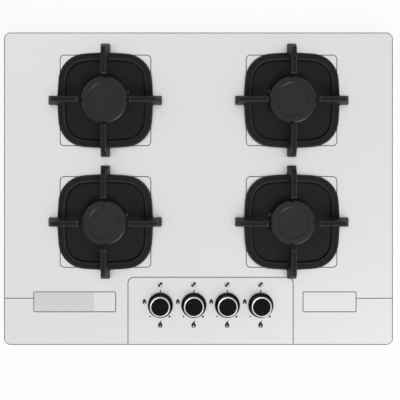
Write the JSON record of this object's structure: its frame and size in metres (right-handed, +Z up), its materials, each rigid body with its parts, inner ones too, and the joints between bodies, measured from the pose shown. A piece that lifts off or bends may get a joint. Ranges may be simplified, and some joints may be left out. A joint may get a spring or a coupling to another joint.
{
  "type": "gas cooktop",
  "caption": "Built-in gas cooktop: flat steel plate, burners with black caps inside ringed cast supports, round knobs with bright rings along the front",
  "frame": {"origin": "middle of the tray's underside, in line with the middle of the plate", "axes": "+X to the user's right, +Y to the rear, away from the user, +Z up out of the worktop"},
  "size_m": [0.6, 0.482, 0.092],
  "materials": {
    "stainless_plate": "fine horizontal brushing, satin",
    "badge_metal": "satin anodised, blank",
    "seal_foam": "closed-cell foam strip",
    "galvanised_sheet": "galvanised, faint spangle",
    "screw_steel": "zinc plated",
    "brass": "turned",
    "black_enamel": "satin black vitreous enamel",
    "ceramic_dark": "dark glazed insulator with a steel pin",
    "probe_steel": "heat-tinted steel",
    "black_rubber": "matte",
    "pipe_aluminium": "drawn tube",
    "copper": "drawn copper",
    "generator_plastic": "moulded",
    "lead_silicone": "silicone sleeve",
    "terminal_plastic": "moulded",
    "burner_aluminium": "die cast, dulled by heat",
    "cap_enamel": "matt black vitreous enamel",
    "cast_iron_black": "black enamelled casting, satin",
    "knob_black": "satin black moulding",
    "ring_chrome": "bright turned ring",
    "spindle_steel": "turned steel",
    "tap_aluminium": "hot-stamped body"
  },
  "bodies": {
    "hob": {"worktop_plate": "stainless_plate", "badge_plate": "badge_metal", "rim_seal": "seal_foam", "bottom_tray": "galvanised_sheet", "fixing_brackets": "galvanised_sheet", "tray_screws": "screw_steel", "burner_screws": "screw_steel", "tap_screws": "screw_steel", "injectors": "brass", "drip_plates": "black_enamel", "spark_electrodes": "ceramic_dark", "thermocouples": "probe_steel", "knob_seals": "black_rubber", "gas_manifold": "pipe_aluminium", "gas_inlet": "brass", "thermocouple_leads": "copper", "spark_generator": "generator_plastic", "spark_leads": "lead_silicone", "terminal_block": "terminal_plastic", "cable_gland": "generator_plastic", "burner_base_rear_left": "burner_aluminium", "gas_tap_rear_left": "tap_aluminium", "supply_pipe_rear_left": "pipe_aluminium", "burner_base_rear_right": "burner_aluminium", "gas_tap_rear_right": "tap_aluminium", "supply_pipe_rear_right": "pipe_aluminium", "burner_base_front_left": "burner_aluminium", "gas_tap_front_left": "tap_aluminium", "supply_pipe_front_left": "pipe_aluminium", "burner_base_front_right": "burner_aluminium", "gas_tap_front_right": "tap_aluminium", "supply_pipe_front_right": "pipe_aluminium"},
    "plug_front_left": {"tap_plug_front_left": "brass"},
    "control_front_left": {"tap_spindle_front_left": "spindle_steel", "knob_front_left": "knob_black", "knob_ring_front_left": "ring_chrome"},
    "plug_rear_left": {"tap_plug_rear_left": "brass"},
    "control_rear_left": {"tap_spindle_rear_left": "spindle_steel", "knob_rear_left": "knob_black", "knob_ring_rear_left": "ring_chrome"},
    "plug_rear_right": {"tap_plug_rear_right": "brass"},
    "control_rear_right": {"tap_spindle_rear_right": "spindle_steel", "knob_rear_right": "knob_black", "knob_ring_rear_right": "ring_chrome"},
    "plug_front_right": {"tap_plug_front_right": "brass"},
    "control_front_right": {"tap_spindle_front_right": "spindle_steel", "knob_front_right": "knob_black", "knob_ring_front_right": "ring_chrome"},
    "support_rear_left": {"pan_support_rear_left": "cast_iron_black"},
    "head_rear_left": {"burner_head_rear_left": "burner_aluminium"},
    "cap_rear_left": {"burner_cap_rear_left": "cap_enamel"},
    "support_rear_right": {"pan_support_rear_right": "cast_iron_black"},
    "head_rear_right": {"burner_head_rear_right": "burner_aluminium"},
    "cap_rear_right": {"burner_cap_rear_right": "cap_enamel"},
    "support_front_left": {"pan_support_front_left": "cast_iron_black"},
    "head_front_left": {"burner_head_front_left": "burner_aluminium"},
    "cap_front_left": {"burner_cap_front_left": "cap_enamel"},
    "support_front_right": {"pan_support_front_right": "cast_iron_black"},
    "head_front_right": {"burner_head_front_right": "burner_aluminium"},
    "cap_front_right": {"burner_cap_front_right": "cap_enamel"}
  },
  "joints": [
    {"name": "turn_front_left", "type": "hinge", "parent": "hob", "child": "plug_front_left", "pos_m": [-0.0588, -0.1794, 0.021], "axis": [0, 0, 1], "range_deg": [0, 180]},
    {"name": "push_front_left", "type": "slide", "parent": "plug_front_left", "child": "control_front_left", "axis": [0, 0, -1], "range_m": [0, 0.003], "stiffness_N_per_m": 400, "springref_m": -0.004},
    {"name": "turn_rear_left", "type": "hinge", "parent": "hob", "child": "plug_rear_left", "pos_m": [-0.0072, -0.1794, 0.021], "axis": [0, 0, 1], "range_deg": [0, 180]},
    {"name": "push_rear_left", "type": "slide", "parent": "plug_rear_left", "child": "control_rear_left", "axis": [0, 0, -1], "range_m": [0, 0.003], "stiffness_N_per_m": 400, "springref_m": -0.004},
    {"name": "turn_rear_right", "type": "hinge", "parent": "hob", "child": "plug_rear_right", "pos_m": [0.0444, -0.1794, 0.021], "axis": [0, 0, 1], "range_deg": [0, 180]},
    {"name": "push_rear_right", "type": "slide", "parent": "plug_rear_right", "child": "control_rear_right", "axis": [0, 0, -1], "range_m": [0, 0.003], "stiffness_N_per_m": 400, "springref_m": -0.004},
    {"name": "turn_front_right", "type": "hinge", "parent": "hob", "child": "plug_front_right", "pos_m": [0.096, -0.1794, 0.021], "axis": [0, 0, 1], "range_deg": [0, 180]},
    {"name": "push_front_right", "type": "slide", "parent": "plug_front_right", "child": "control_front_right", "axis": [0, 0, -1], "range_m": [0, 0.003], "stiffness_N_per_m": 400, "springref_m": -0.004},
    {"name": "lift_support_rear_left", "type": "slide", "parent": "hob", "child": "support_rear_left", "axis": [0, 0, 1], "range_m": [0, 0.06]},
    {"name": "lift_head_rear_left", "type": "slide", "parent": "hob", "child": "head_rear_left", "axis": [0, 0, 1], "range_m": [0, 0.06]},
    {"name": "lift_cap_rear_left", "type": "slide", "parent": "head_rear_left", "child": "cap_rear_left", "axis": [0, 0, 1], "range_m": [0, 0.04]},
    {"name": "lift_support_rear_right", "type": "slide", "parent": "hob", "child": "support_rear_right", "axis": [0, 0, 1], "range_m": [0, 0.06]},
    {"name": "lift_head_rear_right", "type": "slide", "parent": "hob", "child": "head_rear_right", "axis": [0, 0, 1], "range_m": [0, 0.06]},
    {"name": "lift_cap_rear_right", "type": "slide", "parent": "head_rear_right", "child": "cap_rear_right", "axis": [0, 0, 1], "range_m": [0, 0.04]},
    {"name": "lift_support_front_left", "type": "slide", "parent": "hob", "child": "support_front_left", "axis": [0, 0, 1], "range_m": [0, 0.06]},
    {"name": "lift_head_front_left", "type": "slide", "parent": "hob", "child": "head_front_left", "axis": [0, 0, 1], "range_m": [0, 0.06]},
    {"name": "lift_cap_front_left", "type": "slide", "parent": "head_front_left", "child": "cap_front_left", "axis": [0, 0, 1], "range_m": [0, 0.04]},
    {"name": "lift_support_front_right", "type": "slide", "parent": "hob", "child": "support_front_right", "axis": [0, 0, 1], "range_m": [0, 0.06]},
    {"name": "lift_head_front_right", "type": "slide", "parent": "hob", "child": "head_front_right", "axis": [0, 0, 1], "range_m": [0, 0.06]},
    {"name": "lift_cap_front_right", "type": "slide", "parent": "head_front_right", "child": "cap_front_right", "axis": [0, 0, 1], "range_m": [0, 0.04]}
  ]
}
